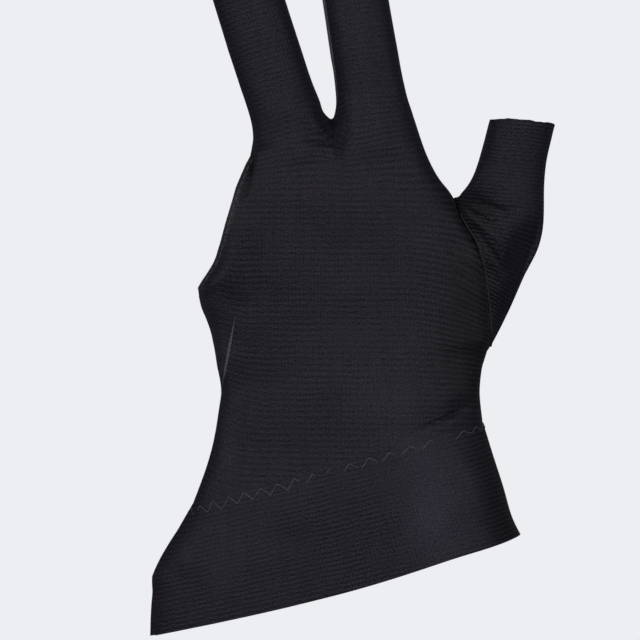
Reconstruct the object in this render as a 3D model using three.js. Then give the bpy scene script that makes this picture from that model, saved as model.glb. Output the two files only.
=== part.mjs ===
// Three-finger cue glove of thin stretch knit for a left hand, as worn, with one corner of its cuff pulled out.
// Millimetres. +X points to the thumb, +Y to the palm, +Z to the fingertips.
// The origin is the middle of the wrist, where the glove sits on the hand.
import * as THREE from 'three';

// Hand part of the glove
const palmBreadth = 92; // side to side, little finger's heel to thumb seam
const palmReach = 89; // wrist to the crotch between the index and middle sleeves
const palmThickness = 28; // back to palm at the knuckles
const wristThickness = 42; // back to palm at the cuff's stitch line
const openingSpread = 21; // back to palm across the opening for the ring and little finger
const openingSlant = 6; // how much further in the opening's edge lies on the palm

// Finger sleeves, each measured along the finger from its base
const middleLength = 58;
const middleWidth = 20.8;
const middleTilt = 17.5; // degrees towards the little finger
const indexLength = 53;
const indexWidth = 20.1;
const indexTilt = 9.1;
const fingerThickness = 18.5;

// Thumb sleeve, measured from the crotch between thumb and index finger
const thumbHeight = 50; // height of the seam that sets the sleeve into the glove's side
const thumbRise = 24; // crotch to the sleeve's open end, upwards
const thumbReach = 32; // crotch to the sleeve's outer edge, sideways
const thumbThickness = 20;
const thumbSet = 7; // how far the sleeve's open end lies towards the palm
const thumbHoleBack = 9.5; // how far the sleeve's seam stands out to the back of the hand
const thumbHolePalm = 13; // how far it stands out to the palm

// Cuff, pulled out at one corner
const cornerReach = 75.5; // wrist to the pulled corner, sideways
const cornerDrop = 77; // wrist to the pulled corner, downwards
const flareReach = 43; // wrist to the cuff's other end, sideways
const flareDrop = 44.5; // wrist to the cuff's other end, downwards
const cuffThickness = 46; // back to palm at the cuff's lower edge

// Cloth
const clothWall = 1.1;
const cuffWall = 1.7; // turned up, so two layers
const hemWall = 1.5;
const hemWidth = 2.6;
const seamGap = 0.3; // clearance between pieces that are sewn together
const foldedEdge = 2.4; // half the thickness where back and palm fold flat onto each other
const foldHeight = 1.2; // how far a full fold stands out
const foldWidth = 3; // how fast a full fold fades sideways

// How finely the cloth is divided
const fingerColumns = 11; // across one side of one finger sleeve
const rowPitch = 4.7; // aimed height of a row
const samples = 96; // points of a section before it is divided evenly

const middleOfRow = fingerColumns;
const handRoundness = 2.35; // 2 is an ellipse, and more is squarer
const fingerRoundness = 2.1;

// Sections of the hand part from the cuff's stitch line to the crotch of the fingers. leftX, leftZ, rightX and rightZ
// are its two side edges as shares of palmBreadth and palmReach; front and back are how far the back of the hand and
// the palm stand out, as shares of the thickness; lean moves the fullest place to the thumb's side; crest lifts the
// middle of the row; pinch parts it into two fingers; hollow takes depth from the middle of the palm.
const handRows = [
  { leftX: -0.67, leftZ: -0.392, rightX: 0.325, rightZ: -0.09, front: 0.44, back: 0.5, lean: 2, crest: 0, pinch: 0, hollow: 0 },
  { leftX: -0.606, leftZ: -0.216, rightX: 0.318, rightZ: 0.007, front: 0.42, back: 0.5, lean: 1.8, crest: 0, pinch: 0, hollow: 0 },
  { leftX: -0.574, leftZ: -0.03, rightX: 0.325, rightZ: 0.09, front: 0.39, back: 0.5, lean: 1.5, crest: 0, pinch: 0, hollow: 0.05 },
  { leftX: -0.567, leftZ: 0.054, rightX: 0.337, rightZ: 0.155, front: 0.37, back: 0.5, lean: 1.35, crest: 0, pinch: 0, hollow: 0.1 },
  { leftX: -0.598, leftZ: 0.216, rightX: 0.35, rightZ: 0.27, front: 0.34, back: 0.5, lean: 1.15, crest: 0, pinch: 0, hollow: 0.18 },
  { leftX: -0.65, leftZ: 0.356, rightX: 0.343, rightZ: 0.399, front: 0.34, back: 0.48, lean: 1, crest: 0, pinch: 0, hollow: 0.2 },
  { leftX: -0.56, leftZ: 0.489, rightX: 0.325, rightZ: 0.497, front: 0.34, back: 0.46, lean: 1, crest: 0, pinch: 0, hollow: 0.16 },
  { leftX: -0.526, leftZ: 0.59, rightX: 0.299, rightZ: 0.593, front: 0.35, back: 0.44, lean: 1, crest: 0.006, pinch: 0, hollow: 0.1 },
  { leftX: -0.5, leftZ: 0.68, rightX: 0.247, rightZ: 0.715, front: 0.36, back: 0.42, lean: 1, crest: 0.014, pinch: 0, hollow: 0.05 },
  { leftX: -0.488, leftZ: 0.735, rightX: 0.193, rightZ: 0.765, front: 0.36, back: 0.41, lean: 1, crest: 0.02, pinch: 0.07, hollow: 0.03 },
  { leftX: -0.476, leftZ: 0.805, rightX: 0.142, rightZ: 0.86, front: 0.36, back: 0.39, lean: 1, crest: 0.027, pinch: 0.28, hollow: 0 },
  { leftX: -0.459, leftZ: 0.89, rightX: 0.0935, rightZ: 1.01, front: 0.33, back: 0.35, lean: 1, crest: 0.037, pinch: 1, hollow: 0 },
];
const openingRows = { first: 5, last: 11 }; // the rows beside the opening for the ring and little finger
const thumbRows = { first: 3, last: 8 }; // the rows beside the thumb

// Widths of a finger sleeve along its length, as shares of its named width.
const fingerRows = [
  { along: 0, width: 1.21, depth: 1 },
  { along: 0.1, width: 1.09, depth: 1 },
  { along: 0.25, width: 1.03, depth: 0.99 },
  { along: 0.5, width: 1, depth: 0.97 },
  { along: 0.75, width: 0.99, depth: 0.96 },
  { along: 1, width: 0.985, depth: 0.96 },
];

// Sections of the thumb sleeve after its seam. The inner edge runs up from the crotch, the outer edge up from the
// seam's lower end. innerX and outerX are shares of thumbReach, innerZ and upper outerZ of thumbRise, lower outerZ
// of thumbHeight; bow, a share of thumbReach, rounds the section outwards; thick is a share of thumbThickness and
// set of thumbSet.
const thumbSections = [
  { innerX: 0.05, innerZ: 0.03, outerX: 0.455, outerZ: -0.8, bow: 0.13, thick: 1.2, set: 0.15 },
  { innerX: 0.065, innerZ: 0.055, outerX: 0.595, outerZ: -0.6, bow: 0.09, thick: 1.21, set: 0.33 },
  { innerX: 0.08, innerZ: 0.08, outerX: 0.73, outerZ: -0.41, bow: 0.05, thick: 1.18, set: 0.42 },
  { innerX: 0.1, innerZ: 0.11, outerX: 0.83, outerZ: -0.25, bow: 0.02, thick: 1.13, set: 0.52 },
  { innerX: 0.15, innerZ: 0.21, outerX: 0.85, outerZ: -0.09, bow: 0, thick: 1.08, set: 0.64 },
  { innerX: 0.197, innerZ: 0.375, outerX: 0.855, outerZ: 0.15, bow: 0, thick: 1.03, set: 0.76 },
  { innerX: 0.24, innerZ: 0.56, outerX: 0.88, outerZ: 0.46, bow: 0, thick: 1, set: 0.88 },
  { innerX: 0.28, innerZ: 0.75, outerX: 0.925, outerZ: 0.72, bow: 0, thick: 0.98, set: 0.95 },
  { innerX: 0.335, innerZ: 1.02, outerX: 0.99, outerZ: 0.95, bow: 0, thick: 0.97, set: 1 },
];

// Sections of the cuff below its stitch line: shares of cornerReach, cornerDrop, flareReach, flareDrop, cuffThickness.
const cuffRows = [
  { leftX: 0.885, leftZ: 0.565, rightX: 0.79, rightZ: 0.45, front: 0.43, back: 0.46, lean: 2, crest: -0.004 },
  { leftX: 0.945, leftZ: 0.68, rightX: 0.87, rightZ: 0.67, front: 0.45, back: 0.47, lean: 2, crest: -0.01 },
  { leftX: 0.99, leftZ: 0.805, rightX: 0.93, rightZ: 0.865, front: 0.47, back: 0.49, lean: 2, crest: -0.016 },
  { leftX: 1, leftZ: 1, rightX: 1, rightZ: 1, front: 0.49, back: 0.51, lean: 2, crest: -0.02 },
];

// Folds and ridges on the back of the hand, from one end to the other as shares of palmBreadth across and palmReach
// up. height is a share of foldHeight, below 0 where the cloth sinks in, and width a share of foldWidth.
const folds = [
  { fromX: -0.515, fromZ: 0.27, toX: -0.57, toZ: 0.05, height: 0.9, width: 1.15 },
  { fromX: 0.12, fromZ: -0.12, toX: 0.27, toZ: -0.05, height: -0.85, width: 1 },
  { fromX: 0.28, fromZ: 0.67, toX: 0.42, toZ: 0.59, height: 1, width: 1 },
  { fromX: 0.33, fromZ: 0.42, toX: 0.5, toZ: 0.52, height: -0.75, width: 1.2 },
  { fromX: -0.17, fromZ: 0.965, toX: -0.14, toZ: 0.89, height: -1, width: 1 },
  { fromX: -0.46, fromZ: 0.86, toX: -0.47, toZ: 0.67, height: -0.75, width: 1 },
  { fromX: -0.62, fromZ: -0.5, toX: -0.3, toZ: -0.42, height: 0.65, width: 1.3 },
];

function mix(from, to, share) {
  return from + (to - from) * share;
}

function clamp(value) {
  return Math.min(Math.max(value, 0), 1);
}

// A table column's value at a place between its rows, on a smooth curve through them.
function smooth(table, column, place) {
  const last = table.length - 1;
  const here = Math.min(Math.floor(place), last - 1);
  const share = place - here;
  const at = (row) => table[Math.min(Math.max(row, 0), last)][column];
  const [a, b, c, d] = [at(here - 1), at(here), at(here + 1), at(here + 2)];
  return b + 0.5 * share * (c - a + share * (2 * a - 5 * b + 4 * c - d + share * (3 * (b - c) + d - a)));
}

// Rounded cross-section: 0 at both ends and 1 in the middle.
function bulge(across, roundness) {
  return (1 - Math.abs(2 * across - 1) ** roundness) ** (1 / roundness);
}

// How far an opening gapes at a row: 0 at its ends, 1 half way.
function gape(place, rows) {
  const share = clamp((place - rows.first) / (rows.last - rows.first));
  return Math.sqrt(4 * share * (1 - share));
}

// Divides a line of points evenly.
function divide(points, count) {
  const lengths = [0];
  for (let i = 1; i < points.length; i += 1) {
    lengths.push(lengths[i - 1] + points[i].distanceTo(points[i - 1]));
  }
  const even = [points[0]];
  let next = 1;
  for (let i = 1; i < count; i += 1) {
    const wanted = (lengths[lengths.length - 1] * i) / count;
    while (lengths[next] < wanted) {
      next += 1;
    }
    const share = (wanted - lengths[next - 1]) / (lengths[next] - lengths[next - 1]);
    even.push(points[next - 1].clone().lerp(points[next], share));
  }
  even.push(points[points.length - 1]);
  return even;
}

// One side of a section from its left to its right edge. side is -1 on the back of the hand and 1 on the palm.
function halfRow(section, side) {
  const reach = side < 0 ? section.front : section.back;
  const openingGap = (section.openingGape * openingSpread) / 2;
  const slant = side < 0 ? 0 : section.openingGape * openingSlant;
  const thumbGap = section.thumbGape * (side < 0 ? thumbHoleBack : thumbHolePalm);
  const points = [];
  for (let i = 0; i <= samples; i += 1) {
    const across = (1 - Math.cos((Math.PI * i) / samples)) / 2;
    const lobe = i === samples ? 1 : (2 * across) % 1;
    const parted = i * 2 === samples ? 0 : bulge(lobe, fingerRoundness);
    const full = mix(bulge(across ** section.lean, handRoundness), parted, section.pinch);
    const edge = mix(bulge(across, 6), parted, section.pinch);
    const dent = 1 - (side > 0 ? section.hollow : 0) * Math.exp(-(((across - 0.5) / 0.2) ** 2));
    const gap = across < 0.5 ? openingGap : thumbGap;
    const depth = foldedEdge * edge + (reach - foldedEdge) * full * dent;
    points.push(new THREE.Vector3(
      mix(section.left.x + slant, section.right.x, across),
      side * (depth + gap * (1 - full)),
      mix(section.left.y, section.right.y, across) + section.crest * Math.sin(Math.PI * across),
    ));
  }
  const half = samples / 2;
  const left = divide(points.slice(0, half + 1), fingerColumns);
  return left.concat(divide(points.slice(half), fingerColumns).slice(1));
}

// Section of the hand part at a place in handRows.
function handSection(place) {
  const value = (column) => smooth(handRows, column, place);
  const thickness = mix(wristThickness, palmThickness, place / (handRows.length - 1));
  return {
    left: new THREE.Vector2(value('leftX') * palmBreadth, value('leftZ') * palmReach),
    right: new THREE.Vector2(value('rightX') * palmBreadth, value('rightZ') * palmReach),
    front: value('front') * thickness,
    back: value('back') * thickness,
    lean: value('lean'),
    crest: value('crest') * palmReach,
    pinch: clamp(value('pinch')),
    hollow: value('hollow'),
    openingGape: gape(place, openingRows),
    thumbGape: gape(place, thumbRows),
  };
}

// Places of the hand's rows, with each row of the table among them.
function handPlaces() {
  const places = [0];
  for (let row = 1; row < handRows.length; row += 1) {
    const [below, above] = [handRows[row - 1], handRows[row]];
    const rise = Math.max(above.leftZ - below.leftZ, above.rightZ - below.rightZ) * palmReach;
    const steps = Math.max(2, Math.round(rise / rowPitch));
    for (let step = 1; step <= steps; step += 1) {
      places.push(row - 1 + step / steps);
    }
  }
  return places;
}

// Rows of one side of a finger sleeve, from the row of the hand that it grows out of.
function fingerSide(base, finger, side) {
  const [left, right] = [base[0], base[base.length - 1]];
  const tilt = THREE.MathUtils.degToRad(finger.tilt);
  const up = new THREE.Vector3(-Math.sin(tilt), 0, Math.cos(tilt));
  const over = new THREE.Vector3(Math.cos(tilt), 0, Math.sin(tilt));
  const start = left.clone().add(right).multiplyScalar(0.5);
  const count = Math.round(finger.length / rowPitch);
  const rows = [base];
  for (let row = 1; row <= count; row += 1) {
    const along = row / count;
    const place = fingerRows.findIndex((entry) => entry.along >= along - 1e-9);
    const [below, above] = [fingerRows[place - 1], fingerRows[place]];
    const part = place - 1 + (along - below.along) / (above.along - below.along);
    const half = (smooth(fingerRows, 'width', part) * finger.width) / 2;
    const depth = (smooth(fingerRows, 'depth', part) * fingerThickness) / 2;
    const middle = start.clone().addScaledVector(up, finger.length * along);
    const points = [];
    for (let i = 0; i <= samples; i += 1) {
      const across = (1 - Math.cos((Math.PI * i) / samples)) / 2;
      const point = middle.clone().addScaledVector(over, (2 * across - 1) * half);
      point.y = side * depth * bulge(across, fingerRoundness);
      points.push(point);
    }
    rows.push(divide(points, fingerColumns));
  }
  return rows;
}

// Rows of the cuff, each the two sides of a section, from the hand's first row down.
function cuffSides(firstFront, firstBack) {
  const table = cuffRows;
  const fronts = [firstFront];
  const backs = [firstBack];
  const steps = 2;
  const start = handSection(0);
  const above = {
    leftX: -start.left.x / cornerReach,
    leftZ: -start.left.y / cornerDrop,
    rightX: start.right.x / flareReach,
    rightZ: -start.right.y / flareDrop,
    front: start.front / cuffThickness,
    back: start.back / cuffThickness,
    lean: start.lean,
    crest: 0,
  };
  const rows = [above, ...table];
  for (let step = 1; step <= (rows.length - 1) * steps; step += 1) {
    const value = (column) => smooth(rows, column, step / steps);
    const section = {
      left: new THREE.Vector2(-value('leftX') * cornerReach, -value('leftZ') * cornerDrop),
      right: new THREE.Vector2(value('rightX') * flareReach, -value('rightZ') * flareDrop),
      front: value('front') * cuffThickness,
      back: value('back') * cuffThickness,
      lean: value('lean'),
      crest: value('crest') * cornerDrop,
      pinch: 0,
      hollow: 0,
      openingGape: 0,
      thumbGape: 0,
    };
    fronts.push(halfRow(section, -1));
    backs.push(halfRow(section, 1));
  }
  return { fronts, backs };
}

// The outer side of one piece: points and the triangles between them, counter-clockwise from outside.
class Cloth {
  constructor(name, wall) {
    this.name = name;
    this.wall = wall;
    this.points = [];
    this.triangles = [];
    this.index = new Map();
  }

  static key(point) {
    return point.toArray().map((value) => Math.round(value * 1e4)).join();
  }

  add(point) {
    const key = Cloth.key(point);
    if (!this.index.has(key)) {
      this.index.set(key, this.points.length);
      this.points.push(point.clone());
    }
    return this.index.get(key);
  }

  // Joins rows of points; turned flips the faces.
  patch(rows, turned) {
    for (let r = 0; r + 1 < rows.length; r += 1) {
      for (let c = 0; c + 1 < rows[r].length; c += 1) {
        const around = [rows[r][c], rows[r][c + 1], rows[r + 1][c + 1], rows[r + 1][c]];
        const corners = around.map((point) => this.add(point));
        if (turned) {
          corners.reverse();
        }
        this.face(corners[0], corners[1], corners[2]);
        this.face(corners[0], corners[2], corners[3]);
      }
    }
  }

  face(a, b, c) {
    if (a !== b && b !== c && c !== a) {
      this.triangles.push([a, b, c]);
    }
  }

  // Directed edges that only one triangle has.
  rim() {
    const edges = new Map();
    for (const [a, b, c] of this.triangles) {
      for (const [from, to] of [[a, b], [b, c], [c, a]]) {
        if (!edges.delete(`${to},${from}`)) {
          edges.set(`${from},${to}`, [from, to]);
        }
      }
    }
    return [...edges.values()];
  }
}

// Sums face normals at each place of the whole glove, so that pieces that meet lean the same way.
function sharedNormals(cloths) {
  const normals = new Map();
  for (const cloth of cloths) {
    for (const triangle of cloth.triangles) {
      const [a, b, c] = triangle.map((corner) => cloth.points[corner]);
      const normal = b.clone().sub(a).cross(c.clone().sub(a));
      for (const point of [a, b, c]) {
        const key = Cloth.key(point);
        normals.set(key, (normals.get(key) ?? new THREE.Vector3()).add(normal));
      }
    }
  }
  return normals;
}

// How far the folds lift the cloth at a point.
function lift(point) {
  let sum = 0;
  for (const entry of folds) {
    const from = new THREE.Vector3(entry.fromX * palmBreadth, 0, entry.fromZ * palmReach);
    const to = new THREE.Vector3(entry.toX * palmBreadth, 0, entry.toZ * palmReach);
    const flat = new THREE.Vector3(point.x, 0, point.z);
    const nearest = new THREE.Line3(from, to).closestPointToPoint(flat, true, new THREE.Vector3());
    const away = flat.distanceTo(nearest) / (entry.width * foldWidth);
    sum += entry.height * foldHeight * Math.exp(-(away ** 2));
  }
  return sum * clamp(-point.y / foldedEdge);
}

// Raises the folds on every piece, alike where pieces meet.
function fold(pieces, normals) {
  for (const cloth of pieces) {
    cloth.points.forEach((point) => {
      point.addScaledVector(normals.get(Cloth.key(point)).clone().normalize(), lift(point));
    });
  }
}

// Moves a piece's rim back from the seams, half the gap each.
function setBack(cloth, normals) {
  const inward = new Map();
  for (const triangle of cloth.triangles) {
    const centre = new THREE.Vector3();
    triangle.forEach((corner) => centre.addScaledVector(cloth.points[corner], 1 / 3));
    for (const corner of triangle) {
      const sum = inward.get(corner) ?? new THREE.Vector3();
      inward.set(corner, sum.add(centre).sub(cloth.points[corner]));
    }
  }
  const moved = new Set(cloth.rim().flat());
  return cloth.points.map((point, corner) => {
    if (!moved.has(corner)) {
      return point;
    }
    const step = inward.get(corner).projectOnPlane(normals[corner]).normalize();
    return point.clone().addScaledVector(step, seamGap / 2);
  });
}

// Gives a piece its wall, inwards from its outer side, and closes its rim.
function thicken(cloth, shared) {
  const normals = cloth.points.map((point) => shared.get(Cloth.key(point)).clone().normalize());
  const outer = setBack(cloth, normals);
  const inner = outer.map((point, corner) => point.clone().addScaledVector(normals[corner], -cloth.wall));
  const count = outer.length;
  const faces = cloth.triangles.flatMap(([a, b, c]) => [a, b, c, c + count, b + count, a + count]);
  for (const [from, to] of cloth.rim()) {
    // Both pieces at a seam part their rims along the same diagonals.
    if (Cloth.key(cloth.points[from]) < Cloth.key(cloth.points[to])) {
      faces.push(to, from, from + count, to, from + count, to + count);
    } else {
      faces.push(to, from, to + count, from, from + count, to + count);
    }
  }
  const geometry = new THREE.BufferGeometry();
  const values = [...outer, ...inner].flatMap((point) => point.toArray());
  geometry.setAttribute('position', new THREE.Float32BufferAttribute(values, 3));
  geometry.setIndex(faces);
  geometry.computeVertexNormals();
  return geometry;
}

// Hand rows, and the two sides of the finger sleeves that grow from the last of them.
const places = handPlaces();
const sections = places.map(handSection);
const frontRows = sections.map((section) => halfRow(section, -1));
const backRows = sections.map((section) => halfRow(section, 1));
const middle = { length: middleLength, width: middleWidth, tilt: middleTilt };
const index = { length: indexLength, width: indexWidth, tilt: indexTilt };

function handPanel(name, rows, side) {
  const cloth = new Cloth(name, clothWall);
  const last = rows[rows.length - 1];
  cloth.patch(rows, side > 0);
  cloth.patch(fingerSide(last.slice(0, middleOfRow + 1), middle, side), side > 0);
  cloth.patch(fingerSide(last.slice(middleOfRow), index, side), side > 0);
  return cloth;
}

// Points of the rows' edge on one side of the glove, between two rows of the table.
function edgeOf(rows, span, column) {
  return rows.filter((row, i) => places[i] >= span.first && places[i] <= span.last).map((row) => row.at(column));
}

// The thumb sleeve, from its seam round the hole in the glove's side to its open end.
function thumbSleeve() {
  const cloth = new Cloth('thumb_sleeve', clothWall);
  const front = edgeOf(frontRows, thumbRows, -1).reverse();
  const back = edgeOf(backRows, thumbRows, -1);
  const crotch = front[0];
  const half = front.length - 1;
  const rings = [front.concat(back.slice(1))];
  for (const row of thumbSections) {
    const drop = row.outerZ < 0 ? thumbHeight : thumbRise;
    const inner = new THREE.Vector3(crotch.x + row.innerX * thumbReach, 0, crotch.z + row.innerZ * thumbRise);
    const outer = new THREE.Vector3(crotch.x + row.outerX * thumbReach, 0, crotch.z + row.outerZ * drop);
    const sides = [-1, 1].map((side) => {
      const points = [];
      for (let i = 0; i <= samples; i += 1) {
        const across = (1 - Math.cos((Math.PI * i) / samples)) / 2;
        const point = inner.clone().lerp(outer, across);
        const swell = (bulge(across, fingerRoundness) * row.thick * thumbThickness) / 2;
        point.x += row.bow * thumbReach * Math.sin(Math.PI * across);
        point.y = side * swell + row.set * thumbSet;
        points.push(point);
      }
      return divide(points, half);
    });
    rings.push(sides[0].concat(sides[1].reverse().slice(1)));
  }
  cloth.patch(rings, false);
  return cloth;
}

function cuffBand() {
  const cloth = new Cloth('cuff_band', cuffWall);
  const { fronts, backs } = cuffSides(frontRows[0], backRows[0]);
  cloth.patch(fronts, true);
  cloth.patch(backs, false);
  return cloth;
}

// The narrow hem round the opening for the ring and little finger, outwards from the panels' edges.
function openingHem() {
  const cloth = new Cloth('opening_hem', hemWall);
  const front = edgeOf(frontRows, openingRows, 0);
  const back = edgeOf(backRows, openingRows, 0).reverse();
  const besideFront = edgeOf(frontRows, openingRows, 1);
  const besideBack = edgeOf(backRows, openingRows, 1).reverse();
  const loop = front.concat(back.slice(1, -1));
  const beside = besideFront.concat(besideBack.slice(1, -1));
  const firstRow = places.findIndex((place) => place >= openingRows.first);
  [beside[0]] = frontRows[firstRow - 1];
  const top = front.length - 1;
  const below = loop[top - 1].clone().lerp(loop[(top + 1) % loop.length], 0.5);
  beside[top] = loop[top].clone().multiplyScalar(2).sub(below);
  const free = loop.map((point, i) => {
    const run = loop[(i + 1) % loop.length].clone().sub(loop.at(i - 1)).normalize();
    const out = point.clone().sub(beside[i]);
    out.addScaledVector(run, -out.dot(run)).normalize();
    return point.clone().addScaledVector(out, hemWidth);
  });
  cloth.patch([[...loop, loop[0]], [...free, free[0]]], false);
  return cloth;
}

const cloths = [
  handPanel('back_panel', frontRows, -1),
  handPanel('palm_panel', backRows, 1),
  thumbSleeve(),
  cuffBand(),
  openingHem(),
];
fold(cloths, sharedNormals(cloths));
const shared = sharedNormals(cloths);

const colours = {
  back_panel: 0x232328,
  palm_panel: 0x222227,
  thumb_sleeve: 0x242429,
  cuff_band: 0x202025,
  opening_hem: 0x1e1e22,
};

const group = new THREE.Group();
for (const cloth of cloths) {
  const material = new THREE.MeshStandardMaterial({ color: colours[cloth.name], roughness: 0.85, metalness: 0 });
  const mesh = new THREE.Mesh(thicken(cloth, shared), material);
  mesh.name = cloth.name;
  group.add(mesh);
}

export default group;
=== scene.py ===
"""Three-finger cue glove of black stretch knit, worn open-fingered, with one corner of its cuff pulled out.

Every cloth piece starts from its solid in the frame, is refined, let out to where the worn cloth reaches
and creased, and gets a knit finish whose courses follow the cloth. Seam edges, the taut fold, the cuff's
zigzag and the hem's stitches are separate small pieces. The knit's colour holds painted highlights and
painted shade, and the pale seam edges and taut fold are painted highlights.
"""

import logging
import math
import random
from dataclasses import dataclass, field
from enum import Enum

import bpy
import numpy as np
from bpy.types import Material, Object
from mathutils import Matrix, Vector


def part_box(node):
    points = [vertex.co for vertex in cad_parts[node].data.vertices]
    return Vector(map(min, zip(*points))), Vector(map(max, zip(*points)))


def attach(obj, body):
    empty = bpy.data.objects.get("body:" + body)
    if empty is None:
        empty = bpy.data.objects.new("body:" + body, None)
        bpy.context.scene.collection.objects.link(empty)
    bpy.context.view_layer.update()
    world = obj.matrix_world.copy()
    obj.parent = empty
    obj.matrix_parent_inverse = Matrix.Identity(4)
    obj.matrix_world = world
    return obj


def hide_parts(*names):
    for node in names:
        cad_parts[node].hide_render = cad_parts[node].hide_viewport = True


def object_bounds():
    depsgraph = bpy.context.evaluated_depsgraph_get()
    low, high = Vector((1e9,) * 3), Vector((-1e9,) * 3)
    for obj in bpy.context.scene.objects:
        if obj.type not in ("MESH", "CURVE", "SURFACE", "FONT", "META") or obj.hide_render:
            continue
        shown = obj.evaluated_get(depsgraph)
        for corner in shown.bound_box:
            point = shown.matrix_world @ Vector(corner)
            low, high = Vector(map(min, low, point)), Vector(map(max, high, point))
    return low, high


Pair = tuple[float, float]
Triple = tuple[float, float, float]
Pieces = tuple[Object, ...]
Array = np.ndarray
Rows = tuple[Array, Array]

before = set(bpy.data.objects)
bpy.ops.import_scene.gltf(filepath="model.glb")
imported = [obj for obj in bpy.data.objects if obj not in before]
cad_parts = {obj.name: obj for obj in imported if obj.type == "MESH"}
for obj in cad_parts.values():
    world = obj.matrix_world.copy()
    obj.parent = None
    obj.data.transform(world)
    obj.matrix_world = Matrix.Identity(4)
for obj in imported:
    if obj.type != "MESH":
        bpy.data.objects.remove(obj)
CAD_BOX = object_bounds()
LOG = logging.getLogger("glove")

MM = 0.001
BODY = "root"
WELD = 0.002 * MM
RIM_ANGLE = math.radians(52)
PAIR_ANGLE = math.radians(65)
PAIR_SHAPE = math.radians(75)
RAY_START = 200 * MM

# Photograph's framing: a square of 640 pixels, with the wrist's middle, the frame's origin, at this pixel.
FRAME_PX = 640
WRIST_PX = (386, 395)
MM_PER_PX = 0.32
CAMERA_DISTANCE = 1000 * MM
SENSOR = 36.0

# Landmarks of the cloth, in millimetres across and up from the wrist.
CROTCH = (-17.6, 87.7)
MIDDLE_BASE = (-29.9, 83.8)
MIDDLE_TILT = math.radians(17.5)
INDEX_BASE = (-4.5, 88.8)
INDEX_TILT = math.radians(9.1)
GAP_LEAN = 0.21
HAND_MIDDLE = -10.0
CUFF_MIDDLE = -12.0
THUMB_MIDDLE = 42.0
CUFF_LINE = ((-62.5, -37.4), (29.8, -10.2))

# How creases and patches fade: share at a crease's ends, growth from there, and depths in millimetres.
END_SHARE = 0.2
END_GROWTH = 3.2
CREASE_DEPTH = 2.5
PATCH_DEPTH = 4.0

# Faces are divided this many widths round a narrow crease, in front of this depth in millimetres.
DIVIDED_WIDTHS = 2.4
DIVIDED_DEPTH = -0.5

# Lifts in millimetres and vertex weights under these are left out.
LEAST_LIFT = 0.01
LEAST_WEIGHT = 0.002


def smoothstep(value: Array) -> Array:
    """Eases values from 0 to 1."""
    value = np.clip(value, 0.0, 1.0)
    return value * value * (3 - 2 * value)


def activate(obj: Object) -> None:
    """Makes one object the only selected one, and active."""
    bpy.ops.object.select_all(action="DESELECT")
    obj.select_set(True)
    bpy.context.view_layer.objects.active = obj


def new_object(name: str, data: bpy.types.ID) -> Object:
    """Adds an object to the scene."""
    obj = bpy.data.objects.new(name, data)
    bpy.context.scene.collection.objects.link(obj)
    return obj


def apply_modifier(obj: Object, kind: str, **settings: object) -> None:
    """Adds a modifier and applies it.

    Args:
        obj: The mesh object.
        kind: Modifier type, such as "SUBSURF".
        **settings: Values set on the modifier.
    """
    activate(obj)
    modifier = obj.modifiers.new(kind.title(), kind)
    for name, value in settings.items():
        setattr(modifier, name, value)
    bpy.ops.object.modifier_apply(modifier=modifier.name)


def open_mesh(obj: Object) -> None:
    """Starts editing one object's mesh."""
    activate(obj)
    bpy.ops.object.mode_set(mode="EDIT")


def close_mesh() -> None:
    """Ends editing with nothing selected."""
    bpy.ops.mesh.select_all(action="DESELECT")
    bpy.ops.object.mode_set(mode="OBJECT")


def vectors(items: bpy.types.bpy_prop_collection, name: str) -> Array:
    """One vector attribute of all the items, one a row."""
    flat = np.empty(len(items) * 3)
    items.foreach_get(name, flat)
    return flat.reshape(-1, 3)


def coordinates(mesh: bpy.types.Mesh) -> Array:
    """Vertex places of a mesh, in millimetres."""
    return vectors(mesh.vertices, "co") / MM


def spot(points: Array, middle: Pair, size: Pair) -> Array:
    """Share of a soft oval spot at each point, from 0 to 1."""
    across = (points[:, 0] - middle[0]) / size[0]
    up = (points[:, 2] - middle[1]) / size[1]
    return np.exp(-(across**2 + up**2))


class Wrap:
    """One shader socket that takes part in plain arithmetic."""

    def __init__(self, graph: "Graph", socket: bpy.types.NodeSocket) -> None:
        """Keeps the socket and the graph it belongs to."""
        self.graph = graph
        self.socket = socket

    def maths(self, operation: str, *others: object) -> "Wrap":
        """Adds a Math node.

        Args:
            operation: Its operation, such as "SINE".
            *others: Further inputs, numbers or wrapped sockets.

        Returns:
            The node's output.
        """
        inputs = dict(enumerate((self, *others)))
        return self.graph.add("ShaderNodeMath", {"operation": operation}, inputs)

    def __add__(self, other: object) -> "Wrap":
        """Sum."""
        return self.maths("ADD", other)

    def __sub__(self, other: object) -> "Wrap":
        """Difference."""
        return self.maths("SUBTRACT", other)

    def __mul__(self, other: object) -> "Wrap":
        """Product."""
        return self.maths("MULTIPLY", other)

    def __truediv__(self, other: object) -> "Wrap":
        """Quotient."""
        return self.maths("DIVIDE", other)

    def __rsub__(self, other: float) -> "Wrap":
        """Reflected difference."""
        return self.graph.add("ShaderNodeMath", {"operation": "SUBTRACT"}, {0: other, 1: self})

    __radd__ = __add__
    __rmul__ = __mul__

    def sine(self) -> "Wrap":
        """Sine, from -1 to 1."""
        return self.maths("SINE")

    def between(self, low: float, high: float) -> "Wrap":
        """Share from 0 to 1 of the way from low to high, eased."""
        settings = {"interpolation_type": "SMOOTHSTEP"}
        inputs = {"Value": self, "From Min": low, "From Max": high}
        return self.graph.add("ShaderNodeMapRange", settings, inputs)


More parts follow.
